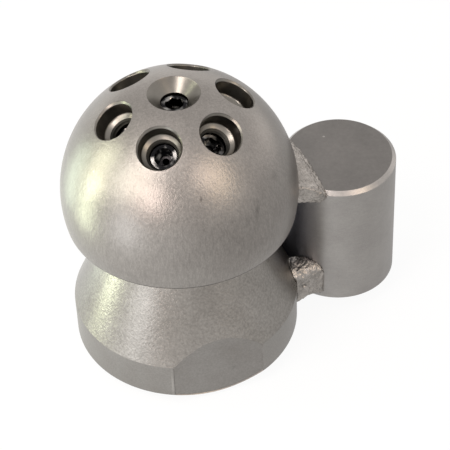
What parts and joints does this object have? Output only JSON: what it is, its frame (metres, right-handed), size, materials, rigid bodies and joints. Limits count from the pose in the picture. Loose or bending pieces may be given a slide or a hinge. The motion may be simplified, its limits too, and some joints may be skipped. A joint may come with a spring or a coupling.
{
  "type": "sewer jetter nozzle",
  "caption": "Ball-headed steel jetting nozzle with recessed screw-in jets, a flared foot with spanner flats, an inlet thread below and a round steel weight welded to its side.",
  "frame": {"origin": "centre of the foot's bottom face, on the inlet's axis", "axes": "+Z along the nozzle's axis towards the head and its front jets; -Y roughly towards the front spanner flat; the side weight stands towards +X and a little towards +Y"},
  "size_m": [0.0868, 0.0609, 0.0807],
  "materials": {
    "body_steel": "satin, brushed on the ball and blasted on the foot's cone",
    "weight_steel": "fine turned",
    "weld_metal": "rough as welded",
    "insert_steel": "machined",
    "hard_tip": "polished bore"
  },
  "bodies": {
    "root": {"nozzle_body": "body_steel", "side_weight": "weight_steel", "upper_weld": "weld_metal", "front_lower_weld": "weld_metal", "rear_lower_weld": "weld_metal", "centre_jet_insert": "insert_steel", "centre_jet_tip": "hard_tip", "front_jet_1_insert": "insert_steel", "front_jet_1_tip": "hard_tip", "front_jet_2_insert": "insert_steel", "front_jet_2_tip": "hard_tip", "front_jet_3_insert": "insert_steel", "front_jet_3_tip": "hard_tip", "front_jet_4_insert": "insert_steel", "front_jet_4_tip": "hard_tip", "front_jet_5_insert": "insert_steel", "front_jet_5_tip": "hard_tip", "front_jet_6_insert": "insert_steel", "front_jet_6_tip": "hard_tip", "rear_jet_1_insert": "insert_steel", "rear_jet_1_tip": "hard_tip", "rear_jet_2_insert": "insert_steel", "rear_jet_2_tip": "hard_tip", "rear_jet_3_insert": "insert_steel", "rear_jet_3_tip": "hard_tip", "rear_jet_4_insert": "insert_steel", "rear_jet_4_tip": "hard_tip", "rear_jet_5_insert": "insert_steel", "rear_jet_5_tip": "hard_tip", "rear_jet_6_insert": "insert_steel", "rear_jet_6_tip": "hard_tip"}
  },
  "joints": []
}
